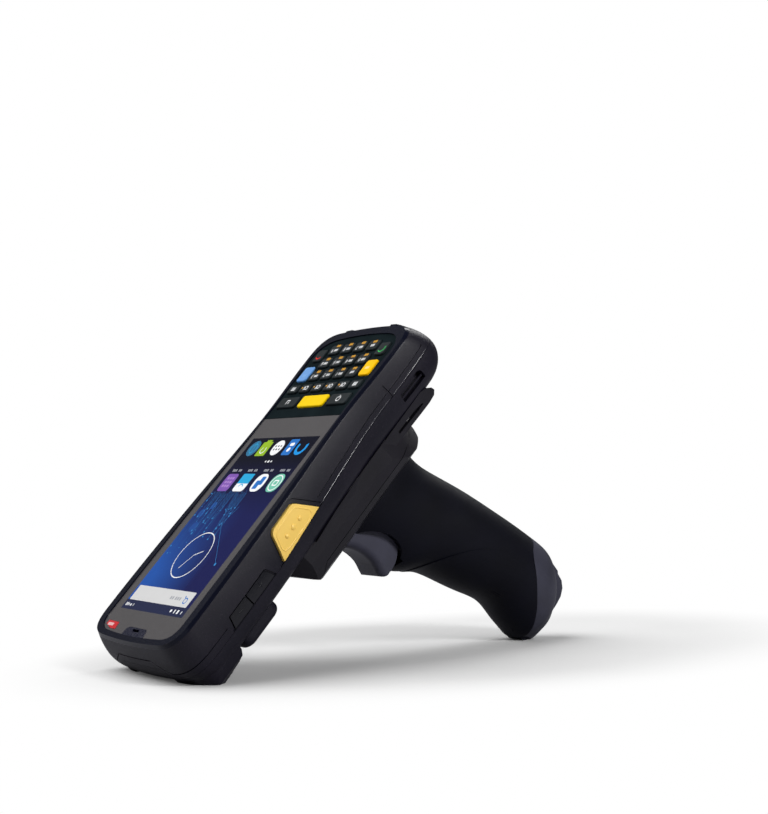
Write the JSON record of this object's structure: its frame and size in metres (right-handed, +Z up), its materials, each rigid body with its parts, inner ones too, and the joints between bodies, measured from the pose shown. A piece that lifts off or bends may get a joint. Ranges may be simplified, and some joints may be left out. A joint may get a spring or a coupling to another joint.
{
  "type": "barcode_terminal",
  "caption": "Portable barcode data terminal with a touch display and a rubber keypad, clipped into a pistol grip with a trigger and a hinged butt cap.",
  "frame": {"origin": "centre of the bounding box footprint, on the floor", "axes": "X runs from the scanner end to the butt side, Z up as the object stands on its feet and butt, Y across the width"},
  "size_m": [0.2034, 0.0745, 0.1327],
  "materials": {
    "housing_black": "satin, fine grain",
    "handle_black": "soft matte",
    "screen_glass": "gloss, gray border",
    "rim_navy": "gloss",
    "plate_dark": "satin",
    "key_dark": "satin",
    "key_blue": "satin",
    "key_yellow": "satin",
    "side_yellow": "satin",
    "grip_gray": "satin",
    "lens_red": "gloss",
    "window_dark": "gloss, dark red tint",
    "steel": "plain",
    "board_green": "lacquered board",
    "battery_gray": "wrapped cell pack",
    "panel_dark": "dark display"
  },
  "bodies": {
    "body": {"back_housing": "housing_black", "battery_pack": "battery_gray", "camera_lens": "window_dark", "cap_pin": "steel", "display_panel": "panel_dark", "earpiece": "rim_navy", "front_housing": "housing_black", "grip_battery": "battery_gray", "handle_far": "handle_black", "handle_near": "handle_black", "handle_screws": "steel", "housing_screws": "steel", "indicator_lens": "lens_red", "keypad_mat": "key_dark", "keypad_plate": "plate_dark", "main_board": "board_green", "port_cover": "housing_black", "saddle_lower": "housing_black", "saddle_screws": "steel", "saddle_upper": "housing_black", "scan_engine": "panel_dark", "scan_window": "window_dark", "touch_window": "screen_glass", "trigger_pin": "steel", "trigger_spring": "steel", "trigger_switch": "panel_dark"},
    "b_key_scan_front": {"key_scan_front": "key_yellow"},
    "b_key_back": {"key_back": "key_dark"},
    "b_key_power": {"key_power": "key_dark"},
    "b_key_d1": {"key_d1": "key_dark"},
    "b_key_d2": {"key_d2": "key_dark"},
    "b_key_d3": {"key_d3": "key_dark"},
    "b_key_d4": {"key_d4": "key_dark"},
    "b_key_d5": {"key_d5": "key_dark"},
    "b_key_d6": {"key_d6": "key_dark"},
    "b_key_c1": {"key_c1": "key_dark"},
    "b_key_c2": {"key_c2": "key_dark"},
    "b_key_c3": {"key_c3": "key_dark"},
    "b_key_c4": {"key_c4": "key_dark"},
    "b_key_b1": {"key_b1": "key_dark"},
    "b_key_b2": {"key_b2": "key_dark"},
    "b_key_b3": {"key_b3": "key_dark"},
    "b_key_b4": {"key_b4": "key_dark"},
    "b_key_a1": {"key_a1": "key_dark"},
    "b_key_a2": {"key_a2": "key_dark"},
    "b_key_a3": {"key_a3": "key_dark"},
    "b_key_a4": {"key_a4": "key_dark"},
    "b_key_blue": {"key_blue": "key_blue"},
    "b_key_yellow": {"key_yellow": "key_dark"},
    "b_key_end": {"key_end": "key_dark"},
    "b_key_call": {"key_call": "key_dark"},
    "b_scan_key_near": {"scan_key_near": "side_yellow"},
    "b_scan_key_far": {"scan_key_far": "side_yellow"},
    "b_volume_down_key": {"volume_down_key": "housing_black"},
    "b_volume_up_key": {"volume_up_key": "housing_black"},
    "b_trigger": {"trigger": "grip_gray"},
    "b_butt_cap": {"butt_cap": "grip_gray"},
    "b_cap_latch": {"cap_latch": "grip_gray"}
  },
  "joints": [
    {"name": "key_scan_front_press", "type": "slide", "parent": "body", "child": "b_key_scan_front", "axis": [0.7361, 0, -0.6769], "range_m": [0, 0.0006], "stiffness_N_per_m": 200},
    {"name": "key_back_press", "type": "slide", "parent": "body", "child": "b_key_back", "axis": [0.7361, 0, -0.6769], "range_m": [0, 0.0006], "stiffness_N_per_m": 200},
    {"name": "key_power_press", "type": "slide", "parent": "body", "child": "b_key_power", "axis": [0.7361, 0, -0.6769], "range_m": [0, 0.0006], "stiffness_N_per_m": 200},
    {"name": "key_d1_press", "type": "slide", "parent": "body", "child": "b_key_d1", "axis": [0.7361, 0, -0.6769], "range_m": [0, 0.0006], "stiffness_N_per_m": 200},
    {"name": "key_d2_press", "type": "slide", "parent": "body", "child": "b_key_d2", "axis": [0.7361, 0, -0.6769], "range_m": [0, 0.0006], "stiffness_N_per_m": 200},
    {"name": "key_d3_press", "type": "slide", "parent": "body", "child": "b_key_d3", "axis": [0.7361, 0, -0.6769], "range_m": [0, 0.0006], "stiffness_N_per_m": 200},
    {"name": "key_d4_press", "type": "slide", "parent": "body", "child": "b_key_d4", "axis": [0.7361, 0, -0.6769], "range_m": [0, 0.0006], "stiffness_N_per_m": 200},
    {"name": "key_d5_press", "type": "slide", "parent": "body", "child": "b_key_d5", "axis": [0.7361, 0, -0.6769], "range_m": [0, 0.0006], "stiffness_N_per_m": 200},
    {"name": "key_d6_press", "type": "slide", "parent": "body", "child": "b_key_d6", "axis": [0.7361, 0, -0.6769], "range_m": [0, 0.0006], "stiffness_N_per_m": 200},
    {"name": "key_c1_press", "type": "slide", "parent": "body", "child": "b_key_c1", "axis": [0.7361, 0, -0.6769], "range_m": [0, 0.0006], "stiffness_N_per_m": 200},
    {"name": "key_c2_press", "type": "slide", "parent": "body", "child": "b_key_c2", "axis": [0.7361, 0, -0.6769], "range_m": [0, 0.0006], "stiffness_N_per_m": 200},
    {"name": "key_c3_press", "type": "slide", "parent": "body", "child": "b_key_c3", "axis": [0.7361, 0, -0.6769], "range_m": [0, 0.0006], "stiffness_N_per_m": 200},
    {"name": "key_c4_press", "type": "slide", "parent": "body", "child": "b_key_c4", "axis": [0.7361, 0, -0.6769], "range_m": [0, 0.0006], "stiffness_N_per_m": 200},
    {"name": "key_b1_press", "type": "slide", "parent": "body", "child": "b_key_b1", "axis": [0.7361, 0, -0.6769], "range_m": [0, 0.0006], "stiffness_N_per_m": 200},
    {"name": "key_b2_press", "type": "slide", "parent": "body", "child": "b_key_b2", "axis": [0.7361, 0, -0.6769], "range_m": [0, 0.0006], "stiffness_N_per_m": 200},
    {"name": "key_b3_press", "type": "slide", "parent": "body", "child": "b_key_b3", "axis": [0.7361, 0, -0.6769], "range_m": [0, 0.0006], "stiffness_N_per_m": 200},
    {"name": "key_b4_press", "type": "slide", "parent": "body", "child": "b_key_b4", "axis": [0.7361, 0, -0.6769], "range_m": [0, 0.0006], "stiffness_N_per_m": 200},
    {"name": "key_a1_press", "type": "slide", "parent": "body", "child": "b_key_a1", "axis": [0.7361, 0, -0.6769], "range_m": [0, 0.0006], "stiffness_N_per_m": 200},
    {"name": "key_a2_press", "type": "slide", "parent": "body", "child": "b_key_a2", "axis": [0.7361, 0, -0.6769], "range_m": [0, 0.0006], "stiffness_N_per_m": 200},
    {"name": "key_a3_press", "type": "slide", "parent": "body", "child": "b_key_a3", "axis": [0.7361, 0, -0.6769], "range_m": [0, 0.0006], "stiffness_N_per_m": 200},
    {"name": "key_a4_press", "type": "slide", "parent": "body", "child": "b_key_a4", "axis": [0.7361, 0, -0.6769], "range_m": [0, 0.0006], "stiffness_N_per_m": 200},
    {"name": "key_blue_press", "type": "slide", "parent": "body", "child": "b_key_blue", "axis": [0.7361, 0, -0.6769], "range_m": [0, 0.0006], "stiffness_N_per_m": 200},
    {"name": "key_yellow_press", "type": "slide", "parent": "body", "child": "b_key_yellow", "axis": [0.7361, 0, -0.6769], "range_m": [0, 0.0006], "stiffness_N_per_m": 200},
    {"name": "key_end_press", "type": "slide", "parent": "body", "child": "b_key_end", "axis": [0.7361, 0, -0.6769], "range_m": [0, 0.0006], "stiffness_N_per_m": 200},
    {"name": "key_call_press", "type": "slide", "parent": "body", "child": "b_key_call", "axis": [0.7361, 0, -0.6769], "range_m": [0, 0.0006], "stiffness_N_per_m": 200},
    {"name": "scan_key_near_press", "type": "slide", "parent": "body", "child": "b_scan_key_near", "axis": [0, 1, 0], "range_m": [0, 0.0007], "stiffness_N_per_m": 200},
    {"name": "scan_key_far_press", "type": "slide", "parent": "body", "child": "b_scan_key_far", "axis": [0, -1, 0], "range_m": [0, 0.0007], "stiffness_N_per_m": 200},
    {"name": "volume_down_key_press", "type": "slide", "parent": "body", "child": "b_volume_down_key", "axis": [0, 1, 0], "range_m": [0, 0.0006], "stiffness_N_per_m": 200},
    {"name": "volume_up_key_press", "type": "slide", "parent": "body", "child": "b_volume_up_key", "axis": [0, 1, 0], "range_m": [0, 0.0006], "stiffness_N_per_m": 200},
    {"name": "trigger_pull", "type": "hinge", "parent": "body", "child": "b_trigger", "pos_m": [-0.00727, 0, 0.05336], "axis": [0, -1, 0], "range_deg": [0, 7], "stiffness_Nm_per_rad": 0.3},
    {"name": "butt_cap_open", "type": "hinge", "parent": "body", "child": "b_butt_cap", "pos_m": [0.08021, 0, 0.00268], "axis": [0, 1, 0], "range_deg": [0, 90]},
    {"name": "cap_latch_slide", "type": "slide", "parent": "b_butt_cap", "child": "b_cap_latch", "axis": [0.7361, 0, -0.6769], "range_m": [0, 0.0018], "stiffness_N_per_m": 150}
  ]
}
